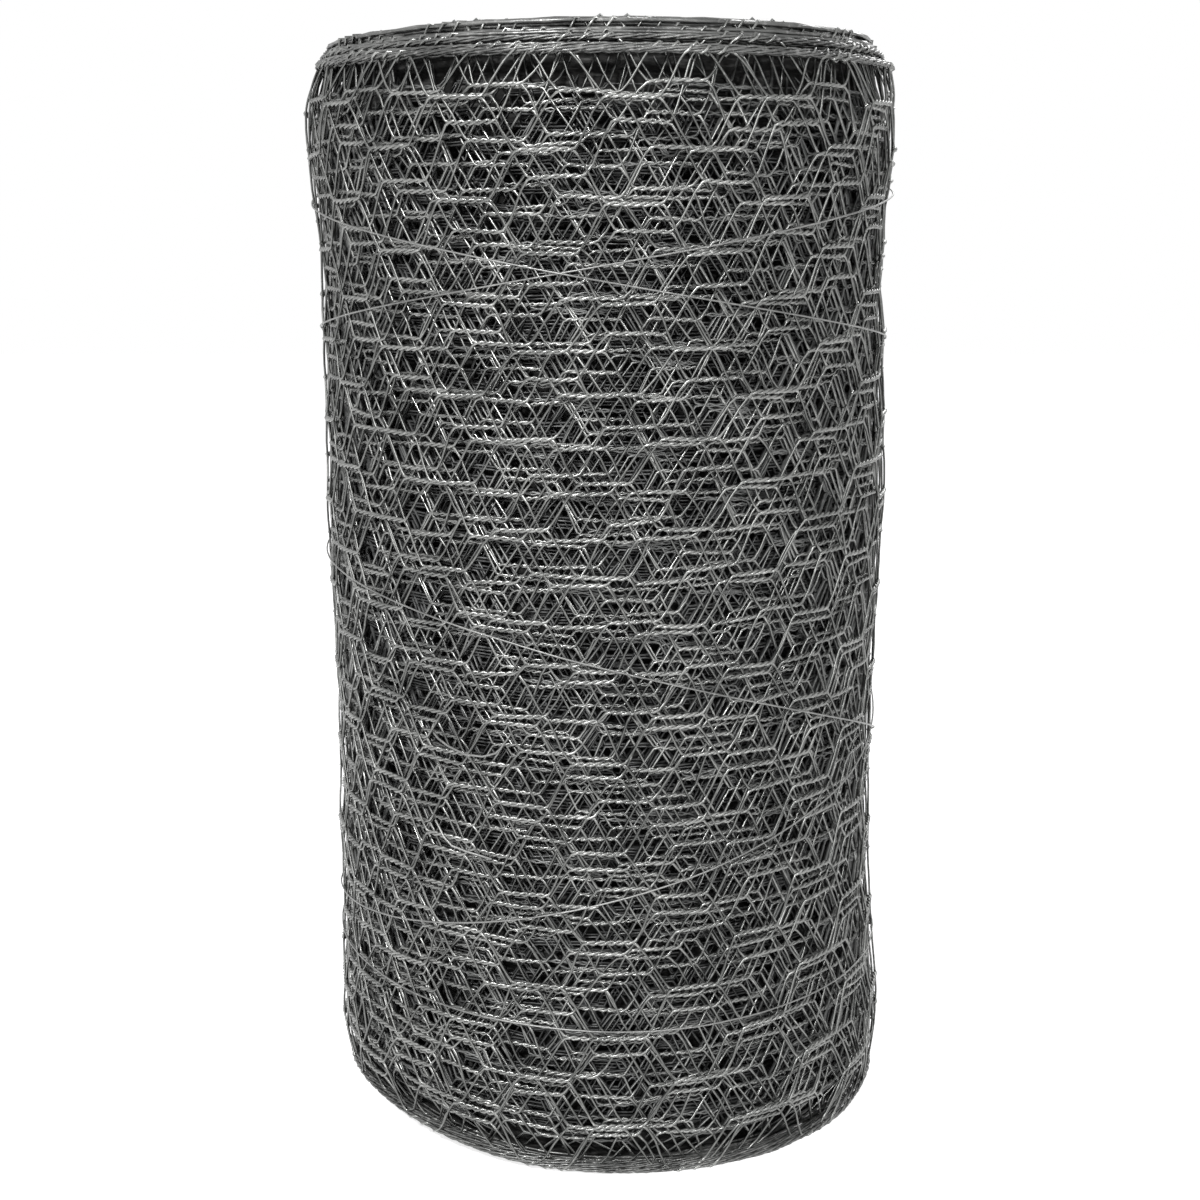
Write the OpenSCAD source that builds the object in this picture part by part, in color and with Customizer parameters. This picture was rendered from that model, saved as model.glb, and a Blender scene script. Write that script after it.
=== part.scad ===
// A roll of hexagonal wire netting (chicken wire) that stands on its end, held by three tie wires.
// Sizes in mm, +Z up, the roll's axis on Z and its standing end on Z = 0.

/* [Roll] */
// width of the netting in the outermost turn, which is that turn's height
netting_width = 610; // [300:1:1200]
// diameter of the roll between its ends
body_d = 328; // [200:1:480]
// diameter of the open middle
bore_d = 80; // [40:1:140]
// distance from one turn of netting to the next
turn_pitch = 1.7; // [1.4:0.05:3]

/* [Ends] */
// thickness of the twisted rope along each edge of the netting
selvedge_d = 2.6; // [2:0.1:3]
// how far every second turn sits higher, so that the edge ropes nest
nest_step = 1.8; // [1.2:0.1:2.2]
// extra radius of the outermost edge rope
end_flare = 2; // [1:0.1:4]
// extra radius where the netting bulges, a little way in from each end
end_bulge = 6; // [4:0.5:10]
// distance from an end to the fullest part of its bulge
bulge_h = 28; // [18:1:45]
// distance from an end to where its bulge has faded
fade_h = 120; // [80:1:140]
// how far the inner turns stand above the outer ones, which were pulled tighter and so narrower
inner_rise = 14; // [2:0.5:20]
// outer turns that end level with the outermost
level_turns = 2; // [2:2:12]
// turns over which the inner ones rise
rising_turns = 6; // [4:2:46]

/* [Tie wires] */
// thickness of the tie wires
tie_d = 1; // [0.8:0.1:1.6]
// space between a tie wire and the roll
tie_gap = 0.4; // [0.35:0.05:0.6]
// distance from the upper edge of the netting down to the upper tie wire's middle
upper_drop = 111; // [90:1:190]
// how far the upper tie wire runs above and below its middle
upper_swing = 58; // [20:1:70]
// height of the lower tie wire's middle
lower_z = 227; // [220:1:260]
// how far the lower tie wire runs above and below its middle
lower_swing = 107; // [40:1:112]
// height of the bottom tie wire
bottom_z = 96; // [70:1:100]
// how far the bottom tie wire runs above and below its middle
bottom_swing = 9; // [0.5:0.5:10]
// length of the twisted ends that close each tie wire
twist_h = 18; // [10:1:24]

/* [Hidden] */

// radii of the turned solid
body_r = body_d / 2;
bore_r = bore_d / 2;
end_r = body_r + end_flare;
rope_r = selvedge_d / 2;
// the wall stands a little inside the outermost rope, so the rope shows as a bead
wall_flare = end_flare - 0.3;
// height of the straight lip at each end, before the bulge
lip_h = selvedge_d + 1;
// flats that draw each side of a bulge
bulge_flats = 10;
// half the width of each flat of an edge rope's eight-sided section
rope_flat = rope_r * tan(22.5);

// how far the wall stands outside the body, at a distance from the nearer end
function bulge_rise(d) =
    wall_flare + (end_bulge - wall_flare) * sin(90 * max(0, (d - lip_h) / (bulge_h - lip_h)));
function bulge_fall(d) =
    end_bulge / 2 * (1 + cos(180 * min(1, (d - bulge_h) / (fade_h - bulge_h))));
function wall_out(d) = d < bulge_h ? bulge_rise(d) : bulge_fall(d);
// distances from an end at which the bulge is drawn, up to where it has faded
bulge_steps = concat(
    [for (k = [0 : bulge_flats - 1]) lip_h + (bulge_h - lip_h) * k / bulge_flats],
    [for (k = [0 : bulge_flats]) bulge_h + (fade_h - bulge_h) * k / bulge_flats]
);

// turns of the roll, counted from the outside
turns = floor((end_r - bore_r - selvedge_d) / turn_pitch) + 1;
rise_over = min(rising_turns, turns - 1 - level_turns);
function turn_r(i) = end_r - rope_r - i * turn_pitch;
function turn_rise(i) = inner_rise * min(1, max(0, (i - level_turns) / rise_over));
function turn_nest(i) = nest_step * (i % 2);

// heights of the rope centres at the two ends of the outermost turn
foot_z = rope_r;
head_z = netting_width - rope_r;
// the solid ends between the lower and the higher ropes, so both stand out of it
foot_face_z = foot_z + nest_step / 2;
head_face_z = head_z + nest_step / 2;
level_r = turn_r(level_turns);
inner_r = turn_r(level_turns + rise_over);

// height of the upper tie wire's middle
upper_z = netting_width - upper_drop;

// tie wires: sections round a wire, and angle between sections along it
wire_sides = 6;
section_step = 6;
tie_path_r = body_r + tie_gap + tie_d / 2;
function tie_out(z) = wall_out(min(z, netting_width - z));
// distance of each twisted end from the twist's axis
twist_r = tie_d / 2 + 0.06;
// the bend from the wrap into the twist
bend_r = 2.5;
bend_angle = (bend_r + twist_r) / tie_path_r * 180 / PI;
twist_turns = 2;
twist_sections = 16;
// one pass steps over the other where a tie wire crosses itself
cross_lift = tie_d * 1.45;
cross_span = 9;
// angle at the back of the roll where the ends of the wires are twisted together
joint_angle = 100;
// angles where the two passes of a wire cross: the front left of centre, and the right edge
upper_cross = 262;
lower_cross = 346;
bottom_cross = 7;

// point on the wrap: angle round the roll, height, and distance outside the wire's path
function round_roll(angle, z, out) =
    let (r = tie_path_r + tie_out(z) + out)
    [r * cos(angle), r * sin(angle), z];

// height of the wrap at an angle, for a wire that closes after a number of passes
function wrap_z(angle, passes, cross_at, mid_z, swing) =
    mid_z + swing * sin((angle - cross_at) / passes);

// how far the last pass stands off where it crosses the first
function wrap_lift(angle, passes, cross_at) =
    passes < 2 ? 0 : cross_lift * exp(-pow((angle - cross_at - 360) / cross_span, 2));

// the twisted end of a wire, from its tip up to the bend: side is 1 or -1
function twist_points(side, top_z) = [
    for (k = [0 : twist_sections])
        let (
            part = 1 - k / twist_sections,
            turn = 360 * twist_turns * part + (side > 0 ? 0 : 180),
            across = twist_r * cos(turn),
            out = twist_r + twist_r * sin(turn)
        )
        round_roll(joint_angle + across / tie_path_r * 180 / PI, top_z - bend_r - twist_h * part, out)
];

// the quarter bend from the twist into the wrap
function bend_points(side, top_z) = [
    for (turn = [30, 60])
        let (across = side * (twist_r + bend_r * (1 - cos(turn))))
        round_roll(
            joint_angle + across / tie_path_r * 180 / PI,
            top_z - bend_r * (1 - sin(turn)),
            twist_r * (1 - turn / 90)
        )
];

function backwards(list) = [for (k = [len(list) - 1 : -1 : 0]) list[k]];

// the whole route of a tie wire, from one twisted tip to the other
function tie_route(passes, cross_at, mid_z, swing) =
    let (
        span = 360 * passes - 2 * bend_angle,
        steps = ceil(span / section_step),
        top_z = wrap_z(joint_angle, passes, cross_at, mid_z, swing)
    )
    concat(
        twist_points(1, top_z),
        bend_points(1, top_z),
        [
            for (k = [0 : steps])
                let (angle = joint_angle + bend_angle + span * k / steps)
                round_roll(
                    angle,
                    wrap_z(angle, passes, cross_at, mid_z, swing),
                    wrap_lift(angle, passes, cross_at)
                )
        ],
        backwards(bend_points(-1, top_z)),
        backwards(twist_points(-1, top_z))
    );

function unit(v) = v / norm(v);

// a round wire along a route that stays close to the roll, closed at both tips
module wire_along(route, thick) {
    count = len(route);
    along = [
        for (k = [0 : count - 1])
            unit(route[min(k + 1, count - 1)] - route[max(k - 1, 0)])
    ];
    outward = [
        for (k = [0 : count - 1])
            let (radial = unit([route[k][0], route[k][1], 0]))
            unit(radial - along[k] * (radial * along[k]))
    ];
    points = [
        for (k = [0 : count - 1], s = [0 : wire_sides - 1])
            let (a = 360 * s / wire_sides)
            route[k] + thick / 2 * (outward[k] * cos(a) + cross(along[k], outward[k]) * sin(a))
    ];
    sides = [
        for (k = [0 : count - 2], s = [0 : wire_sides - 1])
            let (t = (s + 1) % wire_sides)
            [
                k * wire_sides + s,
                (k + 1) * wire_sides + s,
                (k + 1) * wire_sides + t,
                k * wire_sides + t
            ]
    ];
    first_cap = [for (s = [0 : wire_sides - 1]) s];
    last_cap = [for (s = [wire_sides - 1 : -1 : 0]) (count - 1) * wire_sides + s];
    polyhedron(points, concat(sides, [first_cap, last_cap]), convexity = 10);
}

// the edge ropes of every turn at one end: eight-sided, so that the roll stands on a flat of its ropes
module rope_sections(centre_z, rise_share) {
    for (i = [0 : turns - 1])
        translate([turn_r(i), centre_z + rise_share * turn_rise(i) + turn_nest(i)])
            polygon([
                [rope_flat, -rope_r],
                [rope_r, -rope_flat],
                [rope_r, rope_flat],
                [rope_flat, rope_r],
                [-rope_flat, rope_r],
                [-rope_r, rope_flat],
                [-rope_r, -rope_flat],
                [-rope_flat, -rope_r]
            ]);
}

// half of the roll cut down its axis
module roll_section() {
    polygon(concat(
        [[body_r + wall_flare, foot_face_z]],
        [for (d = bulge_steps) [body_r + wall_out(d), d]],
        [for (d = backwards(bulge_steps)) [body_r + wall_out(d), netting_width - d]],
        [
            [body_r + wall_flare, head_face_z],
            [level_r, head_face_z],
            [inner_r, head_face_z + inner_rise],
            [bore_r, head_face_z + inner_rise],
            [bore_r, foot_face_z]
        ]
    ));
    rope_sections(foot_z, 0);
    rope_sections(head_z, 1);
}

module netting_roll() {
    color([0.46, 0.47, 0.46])
        rotate_extrude($fn = 180)
            roll_section();
}

module tie_wire_upper() {
    color([0.55, 0.56, 0.55])
        wire_along(tie_route(2, upper_cross, upper_z, upper_swing), tie_d);
}

module tie_wire_lower() {
    color([0.55, 0.56, 0.55])
        wire_along(tie_route(2, lower_cross, lower_z, lower_swing), tie_d);
}

module tie_wire_bottom() {
    color([0.55, 0.56, 0.55])
        wire_along(tie_route(1, bottom_cross, bottom_z, bottom_swing), tie_d);
}

netting_roll();
tie_wire_upper();
tie_wire_lower();
tie_wire_bottom();
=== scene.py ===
# A roll of galvanised chicken wire standing on its end, wound from real hexagonal netting.
import math

import bpy
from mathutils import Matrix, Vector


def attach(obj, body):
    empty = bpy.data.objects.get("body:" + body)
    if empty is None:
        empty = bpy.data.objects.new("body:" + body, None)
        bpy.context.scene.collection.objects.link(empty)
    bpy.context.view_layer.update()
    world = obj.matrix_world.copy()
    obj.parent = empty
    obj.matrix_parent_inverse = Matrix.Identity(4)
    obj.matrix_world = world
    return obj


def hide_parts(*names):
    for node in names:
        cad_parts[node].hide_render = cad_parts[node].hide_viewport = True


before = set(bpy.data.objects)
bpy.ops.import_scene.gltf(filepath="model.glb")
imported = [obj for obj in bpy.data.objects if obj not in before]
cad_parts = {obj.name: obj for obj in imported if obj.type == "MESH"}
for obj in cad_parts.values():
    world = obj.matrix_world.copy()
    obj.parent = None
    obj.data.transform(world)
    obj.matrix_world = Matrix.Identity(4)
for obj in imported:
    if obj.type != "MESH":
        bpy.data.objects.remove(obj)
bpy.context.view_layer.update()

# Sizes that the part's source also has, in metres
NETTING_WIDTH = 0.610
BODY_RADIUS = 0.164
TURN_PITCH = 0.0017
ROPE_RADIUS = 0.0013
NEST_STEP = 0.0018
END_FLARE = 0.002
END_BULGE = 0.006
BULGE_HEIGHT = 0.028
FADE_HEIGHT = 0.120
INNER_RISE = 0.014
LEVEL_TURNS = 2
RISING_TURNS = 6

# The netting: a hexagon's side, its rows and its wire
WIRE_DIAMETER = 0.0012
ROWS = 24
ROW_HEIGHT = (NETTING_WIDTH - 2 * ROPE_RADIUS) / ROWS
TOP_EDGE = ROWS * ROW_HEIGHT
HEXAGON_SIDE = 2 * ROW_HEIGHT / math.sqrt(3)
PERIOD = 3 * HEXAGON_SIDE
ROLL_TURNS = 73
# The turn in which the sheet's inner end lies
LAST_TURN = ROLL_TURNS - 0.5
# How far a wire swings out in a twist, and round the edge ropes at the foot and at the rim
TWIST_REACH = WIRE_DIAMETER * 0.68
FOOT_TWIST_REACH = WIRE_DIAMETER * 0.9
RIM_TWIST_REACH = WIRE_DIAMETER * 1.6
# How softly a wire bends out of a twist
BEND_EASE = 0.045
# The zinc bath leaves the wire thicker in the twists than on the straight runs
TWIST_THICKNESS = 1.32
STRAIGHT_THICKNESS = 1.06
# The tie wires, as the part's source has them: thickness, twisted ends, the place of their joint, and how
# one pass steps over the other
TIE_DIAMETER = 0.001
TIE_TWIST_REACH = 0.00056
TIE_TWIST_HEIGHT = 0.018
TIE_TWISTS = 2
TWIST_STEPS = 16
TIE_BEND = 0.0025
TIE_BEND_ANGLES = (30.0, 60.0)
JOINT_ANGLE = 100.0
CROSS_LIFT = 0.00145
CROSS_SPAN = 9.0
# How finely a tie wire is drawn: its sides, and the degrees round the roll from one place to the next
TIE_SIDES = 8
TIE_STEP = 2.0
# The outermost turn's middle: its twists reach a little past the CAD wall
SHEET_RADIUS = BODY_RADIUS - WIRE_DIAMETER
# From there to the middle of a tie wire, which is set into the twists that it crosses
TIE_STANDOFF = WIRE_DIAMETER * 0.75 + TIE_DIAMETER / 2
# Where the sheet was cut off, at the back of the roll
CUT_ANGLE = math.radians(62)
# Away from the ends the turns press into each other's meshes, the deeper ones more than the outer ones
OUTER_TURNS = 6
OUTER_PITCH = 0.0008
PACKED_PITCH = 0.0003
# Within these heights of the upper end and the foot, the turns spread out to the pitch of the edge ropes
PACKING_HEIGHT = 0.034
FOOT_PACKING_HEIGHT = 0.018
# Height of the topmost meshes, which are drawn out where the inner turns rise
RISE_HEIGHT = 0.024
# How far the twists of one turn settle above or below those of the next
SETTLE_REACH = 0.0125
# The share of a full swing, up and down, that the twists make from one turn to the next
SETTLE_SHARE = 0.31
SETTLE_WANDER = 1.6
# The same along the sheet: the twists of one turn lie beside the ends of the next turn's
DRIFT_REACH = 0.021
DRIFT_SHARE = 0.43
# How far single places of the mesh are pulled and kinked out of line: up, along and outwards
PULL_UP = 0.004
PULL_ALONG = 0.005
KINK_UP = 0.0009
KINK_ALONG = 0.0011
LOOSE_OUT = 0.0003
# Waves of that noise in a turn and in a metre up the sheet, and where in the noise each one starts
SLACK_WAVES = (1.1, 3.0, 0.0)
PULL_WAVES = (6.0, 7.0, 13.0)
KINK_WAVES = (40.0, 42.0, 29.0)
# Waves in the wall of the roll: broad ones and small ones
LUMP_REACH = 0.002
LUMP_WAVES = 8.0
RIPPLE_REACH = 0.0007
RIPPLE_WAVES = 26.0
WAVE_RADIUS = 0.16
# Swellings of the wall: angle round the roll and its spread in degrees, height and its spread in metres,
# and how far they stand out
SWELLINGS = (
    (5.0, 38.0, 0.350, 0.075, 0.006),
    (0.0, 40.0, 0.120, 0.050, 0.003),
    (180.0, 40.0, 0.400, 0.150, 0.003),
    (175.0, 30.0, 0.585, 0.030, 0.002),
)
# The foot has been pushed to the right, and its front left edge is bent up
FOOT_PUSH = 0.005
FOOT_HEIGHT = 0.055
FOOT_LIFT = 0.013
LIFT_ANGLE = 210.0
LIFT_SPREAD = 26.0
# The upper edge ropes are bunched together at the left: pulled in, closed up and sagging
BUNCH_ANGLE = 190.0
BUNCH_SPREAD = 32.0
BUNCH_TURNS = 8
BUNCH_PULL = 0.0035
BUNCH_CLOSE = 0.0010
BUNCH_SAG = 0.3
# How far from its edges the netting is held straight by the edge ropes, and how much it gives at the rim
HELD_HEIGHT = 0.035
RIM_GIVE = 0.1
# How sharply the nesting of a turn sets in
NEST_SHARPNESS = 4.0
SEED = 7.0


# Node trees written as sums
class Field:
    """A number in a node tree that can be added, multiplied and compared."""

    def __init__(self, tree, socket):
        self.tree = tree
        self.socket = socket

    def math(self, operation, *others):
        node = self.tree.nodes.new("ShaderNodeMath")
        node.operation = operation
        for place, value in enumerate((self, *others)):
            if isinstance(value, Field):
                self.tree.links.new(value.socket, node.inputs[place])
            else:
                node.inputs[place].default_value = value
        return Field(self.tree, node.outputs[0])

    def __add__(self, other):
        return self.math("ADD", other)

    def __sub__(self, other):
        return self.math("SUBTRACT", other)

    def __mul__(self, other):
        return self.math("MULTIPLY", other)

    def __truediv__(self, other):
        return self.math("DIVIDE", other)

    def __mod__(self, other):
        return self.math("MODULO", other)

    def flipped(self, whole=0.0):
        """whole minus this number."""
        return self.math("MULTIPLY_ADD", -1.0, whole)

    def clamped(self):
        """This number held between 0 and 1."""
        return self.math("MAXIMUM", 0.0).math("MINIMUM", 1.0)


class Tree:
    """A Geometry Nodes tree with named inputs."""

    def __init__(self, name, inputs):
        self.tree = bpy.data.node_groups.new(name, "GeometryNodeTree")
        self.tree.interface.new_socket("Geometry", in_out="OUTPUT", socket_type="NodeSocketGeometry")
        for label, kind in inputs:
            self.tree.interface.new_socket(label, in_out="INPUT", socket_type="NodeSocket" + kind)
        self.entry = self.add("NodeGroupInput")
        self.exit = self.add("NodeGroupOutput")

    def add(self, kind, settings=None, **links):
        """Adds a node, sets its settings and links or sets its inputs by name."""
        node = self.tree.nodes.new(kind)
        for key, value in (settings or {}).items():
            setattr(node, key, value)
        for label, value in links.items():
            self.give(node.inputs[label.replace("_", " ")], value)
        return node

    def give(self, socket, value):
        """Links a field or socket into a node's input, or sets a plain value on it."""
        if isinstance(value, Field):
            self.tree.links.new(value.socket, socket)
        elif isinstance(value, bpy.types.NodeSocket):
            self.tree.links.new(value, socket)
        else:
            socket.default_value = value

    def size(self, label):
        """A named input of the tree as a number."""
        return Field(self.tree, self.entry.outputs[label])

    def number(self, socket):
        return Field(self.tree, socket)

    def vector(self, x, y, z):
        node = self.add("ShaderNodeCombineXYZ", X=x, Y=y, Z=z)
        return node.outputs["Vector"]

    def parts(self, socket):
        """The three numbers of a vector."""
        node = self.add("ShaderNodeSeparateXYZ", Vector=socket)
        return [Field(self.tree, out) for out in node.outputs]

    def noise(self, place, scale):
        """Three random numbers about from -1 to 1 that change smoothly with the place."""
        node = self.add("ShaderNodeTexNoise", Vector=place, Scale=scale, Detail=1.0)
        colour = self.add("FunctionNodeSeparateColor", Color=node.outputs["Color"])
        return [(Field(self.tree, out) - 0.5) * 3.0 for out in list(colour.outputs)[:3]]

    def finish(self, geometry, material):
        """Ends the tree in Realize Instances and Set Material."""
        real = self.add("GeometryNodeRealizeInstances", Geometry=geometry)
        smooth = self.add("GeometryNodeSetShadeSmooth", Geometry=real.outputs["Geometry"])
        coated = self.add("GeometryNodeSetMaterial", Geometry=smooth.outputs["Geometry"], Material=material)
        self.tree.links.new(coated.outputs["Geometry"], self.exit.inputs["Geometry"])
        return self.tree


def closeness(distance):
    """1 where a distance is 0, falling smoothly to 0 away from there."""
    return (distance * distance * -0.5).math("EXPONENT")


# Laying flat netting round the roll: x runs along the sheet, y outwards, z up the sheet
def tree_round_the_roll():
    tree = Tree("round_the_roll", [
        ("Sheet", "Geometry"),
        ("Turns Before", "Float"),
        ("Periods a Turn", "Float"),
        ("Packing", "Float"),
        ("Nesting", "Float"),
        ("Wander", "Float"),
        ("Seed", "Float"),
    ])
    place = tree.add("GeometryNodeInputPosition").outputs["Position"]
    along, outward, up = tree.parts(place)
    seed = tree.size("Seed")
    wander = tree.size("Wander")

    # The turn that a place on the sheet lies in
    turn = along / PERIOD / tree.size("Periods a Turn") + tree.size("Turns Before")

    # How far the mesh is pulled out of shape: none at the floor, little at the upper edge
    below_top = up.flipped(TOP_EDGE)
    from_floor = (up / HELD_HEIGHT).clamped()
    from_top = (below_top / HELD_HEIGHT).clamped()
    held = from_floor * (from_top * (1.0 - RIM_GIVE) + RIM_GIVE)

    def unevenness(waves):
        in_turn, in_height, start = waves
        return tree.noise(tree.vector(turn * in_turn, seed + start, up * in_height), 1.0)

    slack = unevenness(SLACK_WAVES)[1]
    pull_along, pull_up, pull_out = unevenness(PULL_WAVES)
    kink_along, kink_up, kink_out = unevenness(KINK_WAVES)

    # The twists of each turn settle beside those of the turns before it, and not on them
    swing = (turn * (2 * math.pi * SETTLE_SHARE) + slack * SETTLE_WANDER).math("SINE")
    settle = swing.math("ARCSINE") * (2 / math.pi)
    shift_up = (settle * SETTLE_REACH + pull_up * PULL_UP + kink_up * KINK_UP) * held * wander
    sway = (turn * (2 * math.pi * DRIFT_SHARE) + slack * SETTLE_WANDER).math("COSINE")
    drift = sway.math("ARCSINE") * (2 / math.pi)
    shift_along = (drift * DRIFT_REACH + pull_along * PULL_ALONG + kink_along * KINK_ALONG) * wander

    # The spiral: its radius falls by a pitch each turn, and less where no edge rope holds the turns apart
    from_end = up.math("MINIMUM", below_top)
    outer = turn.math("MINIMUM", OUTER_TURNS)
    packed = outer * OUTER_PITCH + (turn - outer) * PACKED_PITCH
    apart = (up / FOOT_PACKING_HEIGHT).math("MINIMUM", below_top / PACKING_HEIGHT).clamped()
    depth = turn * TURN_PITCH
    inside = (depth + (packed - depth) * apart * tree.size("Packing")).flipped(SHEET_RADIUS)
    angle = turn * (2 * math.pi) + shift_along / inside + CUT_ANGLE
    cosine = angle.math("COSINE")
    sine = angle.math("SINE")

    # Bulges that every turn shares, so that the turns stay apart
    around = tree.vector(cosine * WAVE_RADIUS, sine * WAVE_RADIUS, up + seed)
    lumps = tree.noise(around, LUMP_WAVES)[0]
    ripples = tree.noise(around, RIPPLE_WAVES)[1]
    share = turn.flipped(ROLL_TURNS) / ROLL_TURNS
    # Near each end the netting swells past its edge rope and then falls back to the body
    rise = ((from_end / BULGE_HEIGHT).clamped() * (math.pi / 2)).math("SINE")
    fall = (((from_end - BULGE_HEIGHT) / (FADE_HEIGHT - BULGE_HEIGHT)).clamped() * math.pi).math("COSINE")
    swell = (rise * (END_BULGE - END_FLARE) + END_FLARE) * (fall + 1.0) * 0.5

    def facing(middle, spread):
        turned = cosine * math.cos(math.radians(middle)) + sine * math.sin(math.radians(middle))
        return ((turned - 1.0) / math.radians(spread) ** 2).math("EXPONENT")

    at_foot = closeness(up / FOOT_HEIGHT)
    lift = facing(LIFT_ANGLE, LIFT_SPREAD) * at_foot * FOOT_LIFT * share
    uneven = cosine * FOOT_PUSH * at_foot
    for middle, spread, height_at, height_spread, reach in SWELLINGS:
        uneven = uneven + facing(middle, spread) * closeness((up - height_at) / height_spread) * reach
    bulge = (lumps * LUMP_REACH + ripples * RIPPLE_REACH + swell + uneven) * share
    loose = (pull_out * LOOSE_OUT + kink_out * LOOSE_OUT) * wander

    # At the left the upper edge ropes are pulled in and closed up
    at_edge = ((up - TOP_EDGE) / RISE_HEIGHT + 1.0).clamped()
    bunched = facing(BUNCH_ANGLE, BUNCH_SPREAD) * share
    closed = turn.math("MINIMUM", BUNCH_TURNS) * BUNCH_CLOSE - BUNCH_PULL
    radius = inside + outward + bulge + loose + closed * bunched * at_edge

    # The upper edges of the inner turns stand higher, and every second turn nests between its neighbours
    sag = (bunched * BUNCH_SAG).flipped(1.0)
    rise_up = ((turn - LEVEL_TURNS) / RISING_TURNS).clamped() * at_edge * at_edge * sag * INNER_RISE
    nested = ((turn * math.pi).math("SINE") * -NEST_SHARPNESS + 0.5).clamped()
    nest = nested * tree.size("Nesting") * NEST_STEP
    height = up + shift_up + rise_up + nest + lift + ROPE_RADIUS
    moved = tree.vector(radius * cosine, radius * sine, height)
    wrapped = tree.add("GeometryNodeSetPosition", Geometry=tree.entry.outputs["Sheet"], Position=moved)
    tree.tree.links.new(wrapped.outputs["Geometry"], tree.exit.inputs["Geometry"])
    return tree.tree


# One period of one netting wire: a twist with the wire below, up, a twist with the wire above, down
# again; its points and its thickness at each
def wire_period(name, lower_reach, upper_reach, turns, twist_steps, bends):
    points = []
    thickness = []
    for centre, start, reach, phase in (
        (0.0, 0.0, lower_reach, math.pi / 2),
        (ROW_HEIGHT, 1.5 * HEXAGON_SIDE, upper_reach, -math.pi / 2),
    ):
        for step in range(twist_steps + 1):
            part = step / twist_steps
            spin = phase + 2 * math.pi * turns * part
            points.append((
                start + HEXAGON_SIDE * part,
                reach * math.cos(spin),
                centre + reach * math.sin(spin),
            ))
            thickness.append(TWIST_THICKNESS)
        # The straight run to the next twist, eased at both bends
        leave = centre + reach * math.sin(phase)
        arrive = lower_reach if centre else ROW_HEIGHT - upper_reach
        for step in range(bends):
            part = (step + 0.5) / bends
            eased = part - BEND_EASE * math.sin(2 * math.pi * part)
            points.append((
                start + HEXAGON_SIDE * (1.0 + 0.5 * part),
                0.0,
                leave + (arrive - leave) * eased,
            ))
            thickness.append(STRAIGHT_THICKNESS)
    points.append((PERIOD, 0.0, lower_reach))
    thickness.append(TWIST_THICKNESS)
    return poly_line(name, points, thickness)


def poly_line(name, points, thickness):
    """A line through points, with the share of the wire's thickness that it has at each."""
    curve = bpy.data.curves.new(name, "CURVE")
    curve.dimensions = "3D"
    spline = curve.splines.new("POLY")
    spline.points.add(len(points) - 1)
    for target, point, share in zip(spline.points, points, thickness):
        target.co = (*point, 1.0)
        target.radius = share
    item = bpy.data.objects.new(name, curve)
    bpy.context.scene.collection.objects.link(item)
    return item


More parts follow.
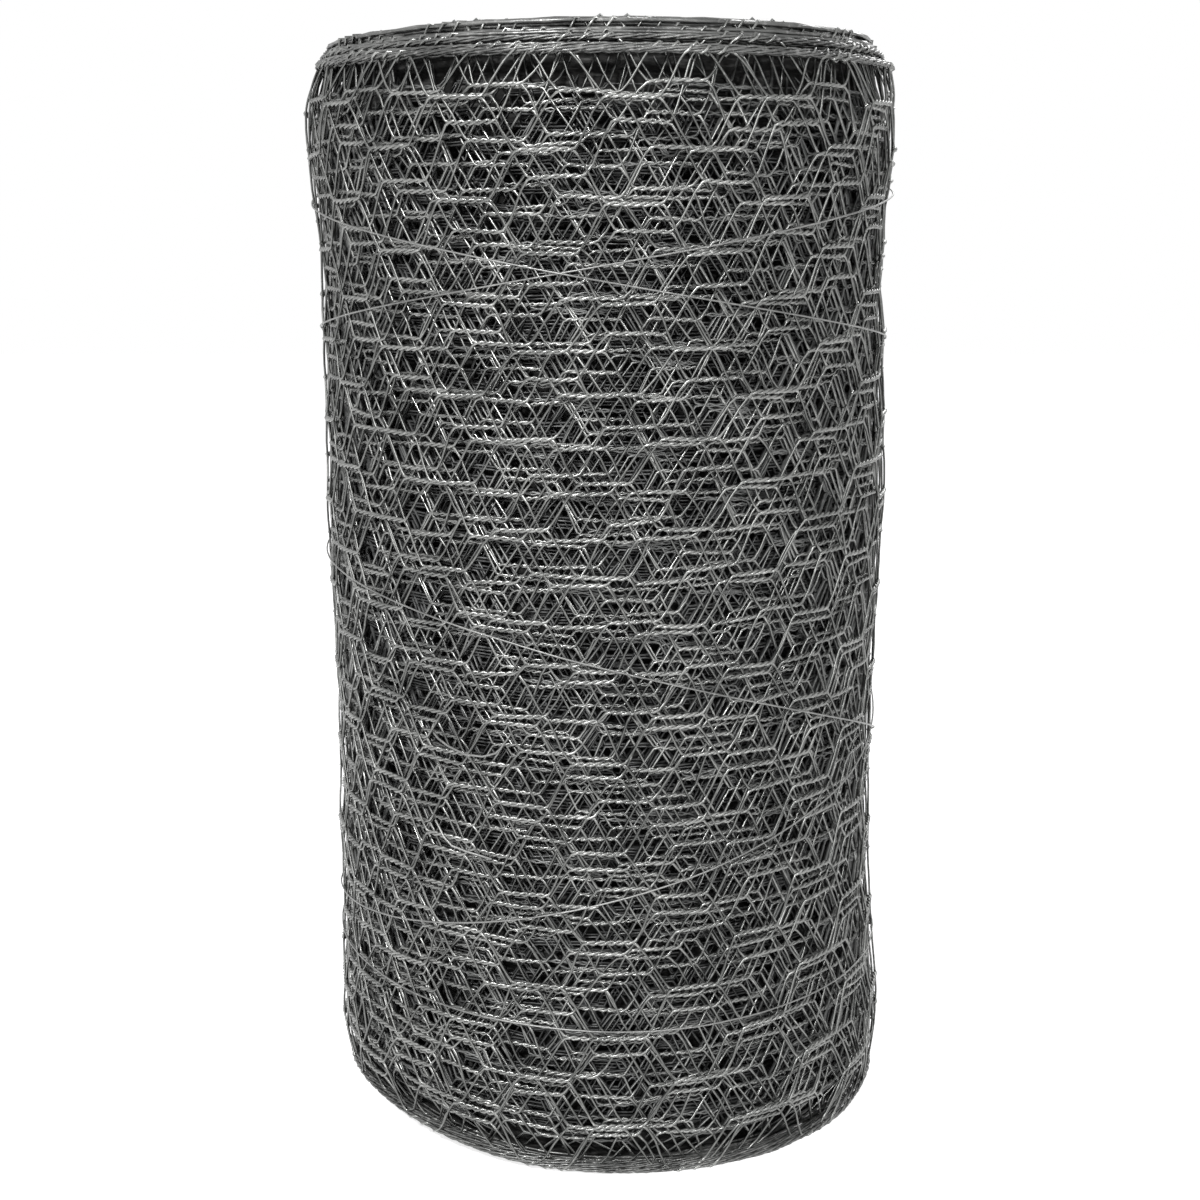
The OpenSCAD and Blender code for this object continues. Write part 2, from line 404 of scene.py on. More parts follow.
# The netting: the wire period repeated along the sheet and up it, and wrapped round the roll
def tree_netting(wrap):
    tree = Tree("wire_netting", [
        ("Period", "Object"),
        ("First Wire", "Int"),
        ("Wires", "Int"),
        ("Periods", "Int"),
        ("Turns Before", "Float"),
        ("Length", "Float"),
        ("Periods a Turn", "Float"),
        ("Wire Diameter", "Float"),
        ("Sides", "Int"),
        ("Packing", "Float"),
        ("Wander", "Float"),
        ("Seed", "Float"),
        ("Finish", "Material"),
    ])
    count = tree.size("Periods") * tree.size("Wires")
    index = tree.number(tree.add("GeometryNodeInputIndex").outputs["Index"])
    row = (index / tree.size("Periods")).math("FLOOR")
    column = index % tree.size("Periods")
    wire = row + tree.size("First Wire")
    stagger = (wire % 2.0) * -0.5
    along = (column + stagger) * PERIOD
    spots = tree.add("GeometryNodePoints", Count=count, Position=tree.vector(along, 0.0, wire * ROW_HEIGHT))
    shape = tree.add("GeometryNodeObjectInfo", Object=tree.entry.outputs["Period"])
    copies = tree.add(
        "GeometryNodeInstanceOnPoints",
        Points=spots.outputs["Points"],
        Instance=shape.outputs["Geometry"],
    )
    wires = tree.add("GeometryNodeRealizeInstances", Geometry=copies.outputs["Instances"])
    # The sheet is cut off square at its outer end, and each group of turns begins and ends square
    flat = tree.parts(tree.add("GeometryNodeInputPosition").outputs["Position"])[0]
    length = tree.size("Length") * tree.size("Periods a Turn") * PERIOD
    beyond = flat.math("LESS_THAN", 0.0).math("MAXIMUM", flat.math("GREATER_THAN", length))
    cut = tree.add(
        "GeometryNodeDeleteGeometry",
        settings={"domain": "POINT"},
        Geometry=wires.outputs["Geometry"],
        Selection=beyond,
    )
    # A wire that is cut down to a single point is dropped
    points_left = tree.number(tree.add("GeometryNodeSplineLength").outputs["Point Count"])
    whole = tree.add(
        "GeometryNodeDeleteGeometry",
        settings={"domain": "CURVE"},
        Geometry=cut.outputs["Geometry"],
        Selection=points_left.math("LESS_THAN", 2.0),
    )
    rolled = tree.add(
        "GeometryNodeGroup",
        settings={"node_tree": wrap},
        Sheet=whole.outputs["Geometry"],
        Turns_Before=tree.size("Turns Before"),
        Periods_a_Turn=tree.size("Periods a Turn"),
        Packing=tree.size("Packing"),
        Nesting=1.0,
        Wander=tree.size("Wander"),
        Seed=tree.size("Seed"),
    )
    # Where the wire is twisted, for its finish, which draws the straight runs darker as painted shade
    thickness = tree.number(tree.add("GeometryNodeInputRadius").outputs["Radius"])
    twisted = (thickness - STRAIGHT_THICKNESS) / (TWIST_THICKNESS - STRAIGHT_THICKNESS)
    marked = tree.add(
        "GeometryNodeStoreNamedAttribute",
        Geometry=rolled.outputs["Geometry"],
        Name="twisted",
        Value=twisted.clamped(),
    )
    section = tree.add(
        "GeometryNodeCurvePrimitiveCircle",
        Resolution=tree.size("Sides"),
        Radius=tree.size("Wire Diameter") * 0.5,
    )
    tube = tree.add(
        "GeometryNodeCurveToMesh",
        Curve=marked.outputs["Geometry"],
        Profile_Curve=section.outputs["Curve"],
        Scale=thickness,
        Fill_Caps=True,
    )
    return tree.finish(tube.outputs["Mesh"], tree.entry.outputs["Finish"])


# An edge rope: strands wound round each other along the sheet's edge
def tree_edge_rope(wrap):
    tree = Tree("edge_rope", [
        ("Turns Before", "Float"),
        ("Turns", "Float"),
        ("Height", "Float"),
        ("Strands", "Int"),
        ("Strand Reach", "Float"),
        ("Lays a Turn", "Float"),
        ("Steps", "Int"),
        ("Thickness", "Float"),
        ("Flatness", "Float"),
        ("Sides", "Int"),
        ("Wander", "Float"),
        ("Seed", "Float"),
        ("Finish", "Material"),
    ])
    line = tree.add("GeometryNodeCurvePrimitiveLine")
    fine = tree.add("GeometryNodeResampleCurve", Curve=line.outputs["Curve"], Count=tree.size("Steps"))
    strands = tree.add(
        "GeometryNodeDuplicateElements",
        settings={"domain": "SPLINE"},
        Geometry=fine.outputs["Curve"],
        Amount=tree.size("Strands"),
    )
    strand = tree.number(strands.outputs["Duplicate Index"])
    factor = tree.number(tree.add("GeometryNodeSplineParameter").outputs["Factor"])
    along = factor * tree.size("Turns")
    spin = (along * tree.size("Lays a Turn") + strand / tree.size("Strands")) * (2 * math.pi)
    outward = spin.math("COSINE") * tree.size("Strand Reach")
    up = spin.math("SINE") * tree.size("Strand Reach") + tree.size("Height")
    laid = tree.add(
        "GeometryNodeSetPosition",
        Geometry=strands.outputs["Geometry"],
        Position=tree.vector(along * PERIOD, outward, up),
    )
    rolled = tree.add(
        "GeometryNodeGroup",
        settings={"node_tree": wrap},
        Sheet=laid.outputs["Geometry"],
        Turns_Before=tree.size("Turns Before"),
        Periods_a_Turn=1.0,
        Packing=0.0,
        Nesting=1.0,
        Wander=tree.size("Wander"),
        Seed=tree.size("Seed"),
    )
    tilted = tree.add("GeometryNodeSetCurveTilt", Curve=rolled.outputs["Geometry"], Tilt=spin)
    round_section = tree.add(
        "GeometryNodeCurvePrimitiveCircle",
        Resolution=tree.size("Sides"),
        Radius=tree.size("Thickness") * 0.5,
    )
    section = tree.add(
        "GeometryNodeTransform",
        Geometry=round_section.outputs["Curve"],
        Scale=tree.vector(1.0, tree.size("Flatness"), 1.0),
    )
    marked = tree.add(
        "GeometryNodeStoreNamedAttribute",
        Geometry=tilted.outputs["Curve"],
        Name="twisted",
        Value=1.0,
    )
    tube = tree.add(
        "GeometryNodeCurveToMesh",
        Curve=marked.outputs["Geometry"],
        Profile_Curve=section.outputs["Geometry"],
        Fill_Caps=True,
    )
    return tree.finish(tube.outputs["Mesh"], tree.entry.outputs["Finish"])


def fullness(sides):
    """How much larger a section with few sides is drawn, so that it looks as thick as a round wire."""
    return math.pi / (sides * math.sin(math.pi / sides))


def grown(name, tree, values):
    """Runs a tree with the given inputs and keeps the result as a plain mesh piece."""
    seedling = bpy.data.objects.new(name + "_seedling", bpy.data.meshes.new(name + "_seedling"))
    bpy.context.scene.collection.objects.link(seedling)
    maker = seedling.modifiers.new("maker", "NODES")
    maker.node_group = tree
    for item in tree.interface.items_tree:
        if item.in_out == "INPUT":
            maker[item.identifier] = values[item.name]
    graph = bpy.context.evaluated_depsgraph_get()
    graph.update()
    mesh = bpy.data.meshes.new_from_object(seedling.evaluated_get(graph), depsgraph=graph)
    mesh.name = name
    seedling.modifiers.remove(maker)
    bpy.data.objects.remove(seedling)
    piece = bpy.data.objects.new(name, mesh)
    bpy.context.scene.collection.objects.link(piece)
    return piece


# The sockets of a Mix node that mixes colours
MIX_FACTOR = 0
MIX_FIRST = 6
MIX_SECOND = 7
MIX_RESULT = 2
# Broad zinc patches and small pale specks: how many in a metre, and the part of their noise that is used
PATCH_SCALE = 38.0
PATCH_RANGE = (0.34, 0.66)
SPECK_SCALE = 310.0
SPECK_RANGE = (0.56, 0.74)
BLOOM_SHARE = 0.7
GLOSS_RANGE = (0.3, 0.7)
# How much rougher the straight runs are worn than the twists
STRAIGHT_WEAR = 0.12
ZINC_SPECULAR = 0.7
GRAIN_STRENGTH = 0.015
GRAIN_DEPTH = 0.0002


# Dull galvanised wire: grey zinc with paler bloom, darker grime and a soft shine. The straight runs are
# drawn
# darker than the twists: painted shade, for the steep runs that catch less of the light from above
def galvanised_wire(name, dark, light, bloom, roughness, metal, straight_shade, straight_metal):
    material = bpy.data.materials.new(name)
    material.use_nodes = True
    nodes = material.node_tree.nodes
    links = material.node_tree.links
    shader = nodes["Principled BSDF"]
    place = nodes.new("ShaderNodeTexCoord").outputs["Object"]

    def spots(scale, detail):
        noise = nodes.new("ShaderNodeTexNoise")
        noise.inputs["Scale"].default_value = scale
        noise.inputs["Detail"].default_value = detail
        links.new(place, noise.inputs["Vector"])
        return noise.outputs["Fac"]

    def ranged(source, from_range, to_range):
        node = nodes.new("ShaderNodeMapRange")
        node.inputs["From Min"].default_value = from_range[0]
        node.inputs["From Max"].default_value = from_range[1]
        node.inputs["To Min"].default_value = to_range[0]
        node.inputs["To Max"].default_value = to_range[1]
        links.new(source, node.inputs["Value"])
        return node.outputs["Result"]

    def mixed(factor, first, second, blend):
        node = nodes.new("ShaderNodeMix")
        node.data_type = "RGBA"
        node.blend_type = blend
        links.new(factor, node.inputs[MIX_FACTOR])
        links.new(first, node.inputs[MIX_FIRST])
        node.inputs[MIX_SECOND].default_value = (*second, 1.0)
        return node.outputs[MIX_RESULT]

    patches = spots(PATCH_SCALE, 3.0)
    specks = spots(SPECK_SCALE, 2.0)
    zinc = nodes.new("ShaderNodeValToRGB")
    for element, position, colour in zip(zinc.color_ramp.elements, PATCH_RANGE, (dark, light)):
        element.position = position
        element.color = (*colour, 1.0)
    links.new(patches, zinc.inputs["Fac"])
    coat = mixed(ranged(specks, SPECK_RANGE, (0.0, BLOOM_SHARE)), zinc.outputs["Color"], bloom, "MIX")

    twisted = nodes.new("ShaderNodeAttribute")
    twisted.attribute_name = "twisted"
    straight = nodes.new("ShaderNodeMath")
    straight.operation = "SUBTRACT"
    straight.inputs[0].default_value = 1.0
    links.new(twisted.outputs["Fac"], straight.inputs[1])
    # Straight runs darkened: painted shade
    straights_in_painted_shade = mixed(straight.outputs["Value"], coat, (straight_shade,) * 3, "MULTIPLY")
    links.new(straights_in_painted_shade, shader.inputs["Base Color"])
    shader.inputs["Base Color"].default_value = (*light, 1.0)

    worn = nodes.new("ShaderNodeMath")
    worn.operation = "MULTIPLY_ADD"
    links.new(straight.outputs["Value"], worn.inputs[0])
    worn.inputs[1].default_value = STRAIGHT_WEAR
    links.new(ranged(patches, GLOSS_RANGE, roughness), worn.inputs[2])
    links.new(worn.outputs["Value"], shader.inputs["Roughness"])
    shader.inputs["Roughness"].default_value = sum(roughness) / 2
    bare = ranged(straight.outputs["Value"], (0.0, 1.0), (metal, straight_metal))
    links.new(bare, shader.inputs["Metallic"])
    shader.inputs["Metallic"].default_value = metal
    shader.inputs["Specular IOR Level"].default_value = ZINC_SPECULAR

    grain = nodes.new("ShaderNodeBump")
    grain.inputs["Strength"].default_value = GRAIN_STRENGTH
    grain.inputs["Distance"].default_value = GRAIN_DEPTH
    links.new(specks, grain.inputs["Height"])
    links.new(grain.outputs["Normal"], shader.inputs["Normal"])
    return material


netting_finish = galvanised_wire(
    "dull_galvanised_netting",
    dark=(0.15, 0.153, 0.148), light=(0.275, 0.278, 0.269), bloom=(0.46, 0.462, 0.45),
    roughness=(0.22, 0.32), metal=0.66, straight_shade=0.62, straight_metal=0.9,
)
# Darker copies of the netting finish for the deeper turns: painted shade where less light reaches them
shaded_finish = galvanised_wire(
    "galvanised_netting_in_painted_shade",
    dark=(0.08, 0.082, 0.08), light=(0.17, 0.173, 0.169), bloom=(0.25, 0.252, 0.247),
    roughness=(0.3, 0.42), metal=0.5, straight_shade=0.55, straight_metal=0.7,
)
deeper_shade_finish = galvanised_wire(
    "galvanised_netting_in_deeper_painted_shade",
    dark=(0.045, 0.046, 0.0455), light=(0.09, 0.092, 0.091), bloom=(0.13, 0.131, 0.13),
    roughness=(0.34, 0.48), metal=0.4, straight_shade=0.7, straight_metal=0.4,
)
deepest_shade_finish = galvanised_wire(
    "galvanised_netting_in_deepest_painted_shade",
    dark=(0.045, 0.046, 0.0455), light=(0.08, 0.0815, 0.081), bloom=(0.12, 0.121, 0.12),
    roughness=(0.4, 0.55), metal=0.3, straight_shade=0.8, straight_metal=0.3,
)
# The edge ropes, drawn darker than the netting
rope_finish = galvanised_wire(
    "darker_galvanised_rope",
    dark=(0.07, 0.071, 0.069), light=(0.18, 0.182, 0.177), bloom=(0.34, 0.34, 0.332),
    roughness=(0.26, 0.4), metal=0.5, straight_shade=1.0, straight_metal=0.5,
)
tie_finish = galvanised_wire(
    "bright_galvanised_tie",
    dark=(0.15, 0.152, 0.148), light=(0.25, 0.252, 0.245), bloom=(0.36, 0.36, 0.352),
    roughness=(0.22, 0.3), metal=0.65, straight_shade=1.0, straight_metal=0.65,
)


def place_piece(piece, node):
    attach(piece, "root")
    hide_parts(node)


wrap_tree = tree_round_the_roll()
netting_tree = tree_netting(wrap_tree)
rope_tree = tree_edge_rope(wrap_tree)

# Periods of the mesh in each of the outer turns, and in each turn at the open middle
OUTER_PERIODS = 11.5
BORE_PERIODS = 3.0
# The share of a turn by which each group of turns runs into the next
GROUP_OVERLAP = 0.004
# More points in the drawn-out wires at the rim
RIM_BENDS = 3
# The turns from the outside in: name, turns of the roll, periods in each, then how finely the wire is
# drawn: turns and steps of a twist, points in a straight run, sides of the wire; last its finish, darker
# further in as painted shade
TURN_GROUPS = (
    ("netting_turn_outer", 1.0, OUTER_PERIODS, 3, 15, 4, 5, netting_finish),
    ("netting_turn_second", 1.0, OUTER_PERIODS, 3, 12, 3, 4, netting_finish),
    ("netting_turns_third", 2.0, OUTER_PERIODS, 3, 12, 2, 4, netting_finish),
    ("netting_turns_fifth", 2.0, OUTER_PERIODS, 3, 9, 2, 4, netting_finish),
    ("netting_turns_seventh", 4.0, OUTER_PERIODS, 3, 9, 0, 3, netting_finish),
    ("netting_turns_eleventh", 5.0, OUTER_PERIODS, 2, 4, 0, 3, shaded_finish),
    ("netting_turns_sixteenth", 8.0, OUTER_PERIODS, 0, 1, 0, 3, deeper_shade_finish),
    ("netting_turns_deepest", 8.0, OUTER_PERIODS, 0, 1, 0, 3, deepest_shade_finish),
)
# The last turns, which line the open middle
BORE_TURNS = 1.5
BORE_GROUP = ("netting_turns_bore", BORE_TURNS, BORE_PERIODS, 3, 9, 2, 3, netting_finish)
# The wires of the sheet, of which the outermost wind round the edge ropes: name, first wire, wires, reach
# of the lower and upper twists, and points added to a straight run
BANDS = (
    ("lower", 0, 1, FOOT_TWIST_REACH, TWIST_REACH, 0),
    ("middle", 1, ROWS - 2, TWIST_REACH, TWIST_REACH, 0),
    ("upper", ROWS - 1, 1, TWIST_REACH, RIM_TWIST_REACH, RIM_BENDS),
)
turns_before = 0.0
for name, turns, periods_a_turn, spins, steps, bends, sides, finish in (*TURN_GROUPS, BORE_GROUP):
    if name == "netting_turns_bore":
        turns_before = LAST_TURN - BORE_TURNS
    made = []
    for band, first_wire, wires, lower_reach, upper_reach, more_bends in BANDS:
        period = wire_period(name + "_period", lower_reach, upper_reach, spins, steps, bends + more_bends)
        made.append(grown(name + "_" + band, netting_tree, {
            "Period": period,
            "First Wire": first_wire,
            "Wires": wires,
            "Periods": math.ceil(turns * periods_a_turn) + 1,
            "Turns Before": turns_before,
            "Length": turns + GROUP_OVERLAP,
            "Periods a Turn": periods_a_turn,
            "Wire Diameter": WIRE_DIAMETER * fullness(sides),
            "Sides": sides,
            "Packing": 0.0 if name == "netting_turns_bore" else 1.0,
            "Wander": 1.0,
            "Seed": SEED,
            "Finish": finish,
        }))
        bpy.data.objects.remove(period)
    joined = made[1]
    with bpy.context.temp_override(
        active_object=joined, object=joined, selected_objects=made, selected_editable_objects=made
    ):
        bpy.ops.object.join()
    joined.name = name
    joined.data.name = name
    place_piece(joined, "netting_roll")
    turns_before += turns

# The edge ropes: outer turns with real strands, inner ones as one twisted strand. Name, turns before it,
# turns, height, strands, how far a strand swings out, lays in a turn, steps, thickness, flatness and sides
FOOT_EDGE = 0.0003
OUTER_ROPES = 5.0
INNER_ROPES = LAST_TURN - OUTER_ROPES
for name, before, turns, height, strands, reach, lays, steps, thickness, flatness, sides in (
    ("edge_rope_top_outer", 0.0, OUTER_ROPES, TOP_EDGE, 3, 0.0009, 30.0, 1000, 0.0017, 1.0, 5),
    ("edge_rope_bottom_outer", 0.0, OUTER_ROPES, FOOT_EDGE, 3, 0.0008, 30.0, 1000, 0.0016, 1.0, 5),
    ("edge_rope_top_inner", OUTER_ROPES, INNER_ROPES, TOP_EDGE, 1, 0.0, 16.0, 5000, 0.0031, 0.8, 4),
    ("edge_rope_bottom_inner", OUTER_ROPES, INNER_ROPES, FOOT_EDGE, 1, 0.0, 16.0, 4000, 0.003, 0.8, 3),
):
    rope = grown(name, rope_tree, {
        "Turns Before": before,
        "Turns": turns,
        "Height": height,
        "Strands": strands,
        "Strand Reach": reach,
        "Lays a Turn": lays,
        "Steps": steps,
        "Thickness": thickness,
        "Flatness": flatness,
        "Sides": sides,
        "Wander": 1.0,
        "Seed": SEED,
        "Finish": rope_finish,
    })
    place_piece(rope, "netting_roll")


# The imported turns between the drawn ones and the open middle, too deep to tell apart
CORE_FACETS = 96
# Turns left free of the core at the open middle, and how far it stays below the inner turns' upper end
CORE_FREE_TURNS = 2.5
CORE_DROP = 0.010
# Its finish, painted shade with paler painted strands for the dim wires deep in the roll: strands to a
# metre, how flat they lie, the part of their noise that is used, and their tones
STRAND_SCALE = 90.0
STRAND_STRETCH = (1.0, 1.0, 5.0)
STRAND_RANGE = (0.5, 0.72)
CORE_DARK = (0.022, 0.022, 0.0215, 1.0)
CORE_LIGHT = (0.08, 0.08, 0.078, 1.0)
CORE_TONE = (0.04, 0.04, 0.0395, 1.0)
CORE_ROUGHNESS = 0.9
RELIEF_STRENGTH = 0.6
RELIEF_DEPTH = 0.002


def packed_turns(name, inner, outer, low, high, finish):
    around = CORE_FACETS
    outline = ((inner, low), (outer, low), (outer, high), (inner, high))
    corners = []
    for step in range(around):
        angle = 2 * math.pi * step / around
        for radius, height in outline:
            corners.append((radius * math.cos(angle), radius * math.sin(angle), height))
    faces = []
    size = len(outline)
    for step in range(around):
        after = (step + 1) % around
        for side in range(size):
            beside = (side + 1) % size
            faces.append((
                step * size + side,
                after * size + side,
                after * size + beside,
                step * size + beside,
            ))
    mesh = bpy.data.meshes.new(name)
    mesh.from_pydata(corners, [], faces)
    mesh.materials.append(finish)
    piece = bpy.data.objects.new(name, mesh)
    bpy.context.scene.collection.objects.link(piece)
    return piece


def painted_shade_of_packed_wire(name):
    """Painted shade for wire packed so tightly that only its dark mass shows, with a few painted glints in
    paler strands.
    """
    material = bpy.data.materials.new(name)
    material.use_nodes = True
    nodes = material.node_tree.nodes
    links = material.node_tree.links
    shader = nodes["Principled BSDF"]
    place = nodes.new("ShaderNodeTexCoord").outputs["Object"]
    stretch = nodes.new("ShaderNodeMapping")
    stretch.inputs["Scale"].default_value = STRAND_STRETCH
    links.new(place, stretch.inputs["Vector"])
    strands = nodes.new("ShaderNodeTexNoise")
    strands.inputs["Scale"].default_value = STRAND_SCALE
    strands.inputs["Detail"].default_value = 4.0
    links.new(stretch.outputs["Vector"], strands.inputs["Vector"])
    tone = nodes.new("ShaderNodeValToRGB")
    for element, position, colour in zip(tone.color_ramp.elements, STRAND_RANGE, (CORE_DARK, CORE_LIGHT)):
        element.position = position
        element.color = colour
    links.new(strands.outputs["Fac"], tone.inputs["Fac"])
    links.new(tone.outputs["Color"], shader.inputs["Base Color"])
    shader.inputs["Base Color"].default_value = CORE_TONE
    shader.inputs["Roughness"].default_value = CORE_ROUGHNESS
    # No shine of its own, so that the painted shade stays dark
    shader.inputs["Specular IOR Level"].default_value = 0.0
    relief = nodes.new("ShaderNodeBump")
    relief.inputs["Strength"].default_value = RELIEF_STRENGTH
    relief.inputs["Distance"].default_value = RELIEF_DEPTH
    links.new(strands.outputs["Fac"], relief.inputs["Height"])
    links.new(relief.outputs["Normal"], shader.inputs["Normal"])
    return material


drawn_turns = sum(group[1] for group in TURN_GROUPS)
deepest_drawn = OUTER_PITCH * OUTER_TURNS + PACKED_PITCH * (drawn_turns - OUTER_TURNS)
core = packed_turns(
    "netting_turns_packed",
    SHEET_RADIUS - TURN_PITCH * (ROLL_TURNS - CORE_FREE_TURNS),
    SHEET_RADIUS - deepest_drawn - WIRE_DIAMETER,
    ROPE_RADIUS,
    NETTING_WIDTH + INNER_RISE - CORE_DROP,
    painted_shade_of_packed_wire("packed_netting_painted_shade"),
)
place_piece(core, "netting_roll")


# A place on the unrolled sheet, from its angle round the roll, its height and how far it stands out
def spot(angle, height, out):
    turn = (angle - math.degrees(CUT_ANGLE)) / 360
    # The outermost turn lies deeper the further it is from the cut end
    sunk = turn % 1.0 * OUTER_PITCH
    return (turn * PERIOD, TIE_STANDOFF + turn * TURN_PITCH - sunk + out, height - ROPE_RADIUS)


# A tie wire's route on the unrolled sheet, from one twisted end to the other, as the part's source has it
def tie_route(passes, cross_at, middle, swing):
    def height_at(angle):
        return middle + swing * math.sin(math.radians((angle - cross_at) / passes))

    def degrees_across(distance):
        return math.degrees(distance / BODY_RADIUS)

    top = height_at(JOINT_ANGLE)
    ends = []
    for side in (1, -1):
        end = []
        joint = JOINT_ANGLE if side > 0 else JOINT_ANGLE + 360 * passes
        for step in range(TWIST_STEPS + 1):
            part = 1 - step / TWIST_STEPS
            turn = 2 * math.pi * TIE_TWISTS * part + (0.0 if side > 0 else math.pi)
            across = TIE_TWIST_REACH * math.cos(turn)
            out = TIE_TWIST_REACH * (1 + math.sin(turn))
            end.append(spot(joint + degrees_across(across), top - TIE_BEND - TIE_TWIST_HEIGHT * part, out))
        for turn in map(math.radians, TIE_BEND_ANGLES):
            across = side * (TIE_TWIST_REACH + TIE_BEND * (1 - math.cos(turn)))
            out = TIE_TWIST_REACH * (1 - turn / (math.pi / 2))
            end.append(spot(joint + degrees_across(across), top - TIE_BEND * (1 - math.sin(turn)), out))
        ends.append(end)
    margin = degrees_across(TIE_BEND + TIE_TWIST_REACH)
    first = JOINT_ANGLE + margin
    last = JOINT_ANGLE + 360 * passes - margin
    steps = math.ceil((last - first) / TIE_STEP)
    wrap = []
    for step in range(steps + 1):
        angle = first + (last - first) * step / steps
        away = (angle - cross_at - 360) / CROSS_SPAN
        lift = CROSS_LIFT * math.exp(-away * away) if passes > 1 else 0.0
        wrap.append(spot(angle, height_at(angle), lift))
    return ends[0] + wrap + ends[1][::-1]


# A tie wire: its route wrapped round the roll, over the same waves as the netting under it
def tree_tie_wire(wrap):
    tree = Tree("tie_wire", [
        ("Route", "Object"),
        ("Wire Diameter", "Float"),
        ("Sides", "Int"),
        ("Seed", "Float"),
        ("Finish", "Material"),
    ])
    route = tree.add("GeometryNodeObjectInfo", Object=tree.entry.outputs["Route"])
    rolled = tree.add(
        "GeometryNodeGroup",
        settings={"node_tree": wrap},
        Sheet=route.outputs["Geometry"],
        Turns_Before=0.0,
        Periods_a_Turn=1.0,
        Packing=0.0,
        Nesting=0.0,
        Wander=0.0,
        Seed=tree.size("Seed"),
    )
    section = tree.add(
        "GeometryNodeCurvePrimitiveCircle",
        Resolution=tree.size("Sides"),
        Radius=tree.size("Wire Diameter") * 0.5,
    )
    tube = tree.add(
        "GeometryNodeCurveToMesh",
        Curve=rolled.outputs["Geometry"],
        Profile_Curve=section.outputs["Curve"],
        Fill_Caps=True,
    )
    return tree.finish(tube.outputs["Mesh"], tree.entry.outputs["Finish"])


# The tie wires: passes round the roll, where they cross, middle height and swing
tie_tree = tree_tie_wire(wrap_tree)
for name, passes, cross_at, middle, swing in (
    ("tie_wire_upper", 2, 262, 0.499, 0.058),
    ("tie_wire_lower", 2, 346, 0.227, 0.107),
    ("tie_wire_bottom", 1, 7, 0.096, 0.009),
):
    places = tie_route(passes, cross_at, middle, swing)
    route = poly_line(name + "_route", places, [1.0] * len(places))
    wire = grown(name + "_bound", tie_tree, {
        "Route": route,
        "Wire Diameter": TIE_DIAMETER,
        "Sides": TIE_SIDES,
        "Seed": SEED,
        "Finish": tie_finish,
    })
    bpy.data.objects.remove(route)
    place_piece(wire, name)

# Two netting wires that have come loose at the front left: angle, height and standing out at each bend
for name, bends in (
    ("loose_wire_upper", (
        (235.0, 0.2490, -0.0015), (236.5, 0.2469, 0.0000), (238.8, 0.2440, 0.0008), (242.8, 0.2406, 0.0014),
        (246.5, 0.2408, 0.0014), (249.0, 0.2432, 0.0008), (250.0, 0.2458, 0.0000), (250.6, 0.2490, -0.0015),
    )),
    ("loose_wire_lower", (
        (234.8, 0.1985, -0.0015), (236.1, 0.1956, 0.0000), (237.5, 0.1906, 0.0008), (239.4, 0.1869, 0.0014),
        (242.7, 0.1851, 0.0014), (245.8, 0.1836, 0.0006), (247.6, 0.1818, -0.0015),
    )),
):
    places = [spot(*bend) for bend in bends]
    route = poly_line(name + "_route", places, [1.0] * len(places))
    wire = grown(name, tie_tree, {
        "Route": route,
        "Wire Diameter": WIRE_DIAMETER * STRAIGHT_THICKNESS,
        "Sides": TIE_SIDES,
        "Seed": SEED,
        "Finish": tie_finish,
    })
    bpy.data.objects.remove(route)
    place_piece(wire, "netting_roll")

# The floor, the light and the camera
FLOOR_SIZE = 12.0
FLOOR_COLOUR = (0.86, 0.86, 0.86, 1.0)
FLOOR_ROUGHNESS = 0.9
WHITE = (1.0, 1.0, 1.0, 1.0)
# What the floor adds to its lit colour where the camera sees it, so that only the shadow stays grey
FLOOR_WHITENESS = 0.78
# How strongly the white surroundings light the roll, beside the lamps
SURROUNDING_LIGHT = 0.24
bpy.ops.mesh.primitive_plane_add(size=FLOOR_SIZE)
floor = bpy.context.object
floor.name = "pale_floor"
floor_finish = bpy.data.materials.new("pale_floor")
floor_finish.use_nodes = True
floor_nodes = floor_finish.node_tree.nodes
floor_links = floor_finish.node_tree.links
floor_paint = floor_nodes["Principled BSDF"]
floor_paint.inputs["Base Color"].default_value = FLOOR_COLOUR
floor_paint.inputs["Roughness"].default_value = FLOOR_ROUGHNESS
floor_paint.inputs["Emission Color"].default_value = WHITE
floor_ray = floor_nodes.new("ShaderNodeLightPath")
floor_seen = floor_nodes.new("ShaderNodeMath")
floor_seen.operation = "MAXIMUM"
floor_links.new(floor_ray.outputs["Is Camera Ray"], floor_seen.inputs[0])
floor_links.new(floor_ray.outputs["Is Glossy Ray"], floor_seen.inputs[1])
floor_glow = floor_nodes.new("ShaderNodeMath")
floor_glow.operation = "MULTIPLY"
floor_links.new(floor_seen.outputs["Value"], floor_glow.inputs[0])
floor_glow.inputs[1].default_value = FLOOR_WHITENESS
floor_links.new(floor_glow.outputs["Value"], floor_paint.inputs["Emission Strength"])
floor.data.materials.append(floor_finish)

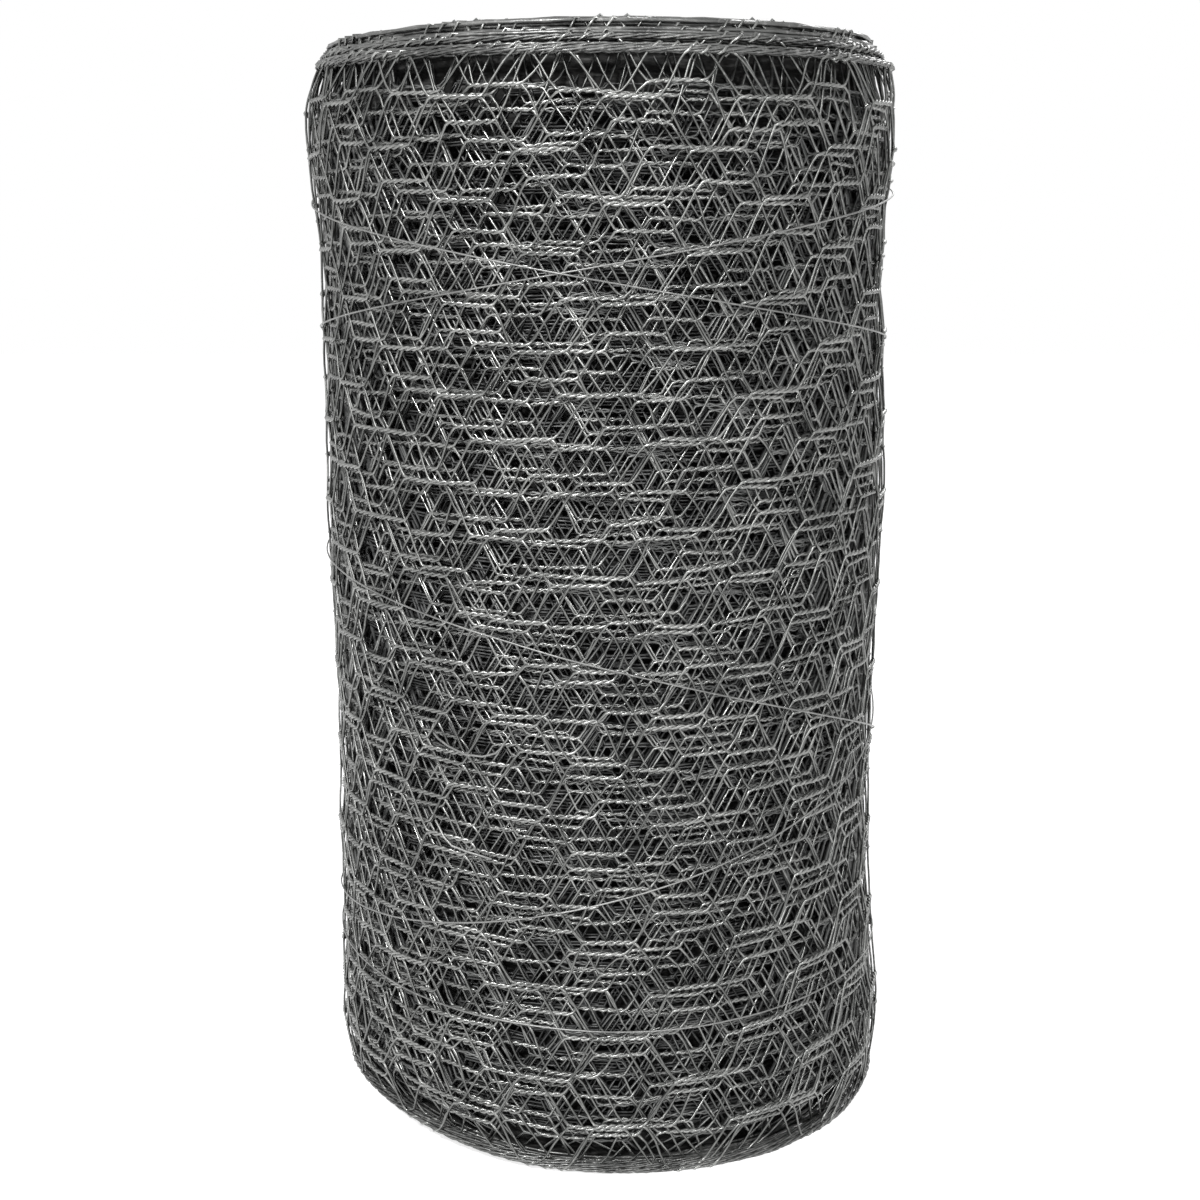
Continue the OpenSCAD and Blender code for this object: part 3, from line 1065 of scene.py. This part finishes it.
world = bpy.data.worlds.new("white_studio")
bpy.context.scene.world = world
world.use_nodes = True
world_nodes = world.node_tree.nodes
world_links = world.node_tree.links
backdrop = world_nodes["Background"]
backdrop.inputs["Color"].default_value = WHITE
ray = world_nodes.new("ShaderNodeLightPath")
seen = world_nodes.new("ShaderNodeMath")
seen.operation = "MAXIMUM"
world_links.new(ray.outputs["Is Camera Ray"], seen.inputs[0])
world_links.new(ray.outputs["Is Transmission Ray"], seen.inputs[1])
mirrored = world_nodes.new("ShaderNodeMath")
mirrored.operation = "MAXIMUM"
world_links.new(seen.outputs["Value"], mirrored.inputs[0])
world_links.new(ray.outputs["Is Glossy Ray"], mirrored.inputs[1])
strength = world_nodes.new("ShaderNodeMapRange")
strength.inputs["To Min"].default_value = SURROUNDING_LIGHT
strength.inputs["To Max"].default_value = 1.0
world_links.new(mirrored.outputs["Value"], strength.inputs["Value"])
world_links.new(strength.outputs["Result"], backdrop.inputs["Strength"])


def soft_lamp(name, place, aim, width, height, power):
    lamp = bpy.data.lights.new(name, "AREA")
    lamp.shape = "RECTANGLE"
    lamp.size = width
    lamp.size_y = height
    lamp.energy = power
    holder = bpy.data.objects.new(name, lamp)
    bpy.context.scene.collection.objects.link(holder)
    holder.location = place
    direction = Vector(aim) - Vector(place)
    holder.rotation_euler = direction.to_track_quat("-Z", "Y").to_euler()


# Name, place, aim, width, height and watts
soft_lamp("key_softbox", (-0.85, -1.95, 1.95), (0.0, 0.0, 0.35), 0.4, 0.3, 62.0)
soft_lamp("right_softbox", (1.0, -1.9, 1.9), (0.0, 0.0, 0.35), 0.4, 0.3, 19.0)
soft_lamp("top_softbox", (-0.1, -0.9, 2.7), (0.0, 0.0, 0.35), 0.9, 0.6, 6.0)
soft_lamp("back_softbox", (0.8, 2.2, 1.9), (0.0, 0.0, 0.3), 1.4, 1.0, 30.0)

# The camera stands a little below the roll's upper end and looks down
PHOTO_WIDTH = 1200
FOCAL_PIXELS = 1878.0
CAMERA_PLACE = (-0.0024, -1.130, 0.530)
CAMERA_TILT = 11.7
SENSOR_WIDTH = 36.0
camera_data = bpy.data.cameras.new("camera")
camera_data.sensor_width = SENSOR_WIDTH
camera_data.lens = SENSOR_WIDTH * FOCAL_PIXELS / PHOTO_WIDTH
camera = bpy.data.objects.new("camera", camera_data)
bpy.context.scene.collection.objects.link(camera)
camera.location = CAMERA_PLACE
camera.rotation_euler = (math.radians(90.0 - CAMERA_TILT), 0.0, 0.0)
bpy.context.scene.camera = camera
bpy.context.scene.view_settings.view_transform = "Standard"

bpy.context.view_layer.update()
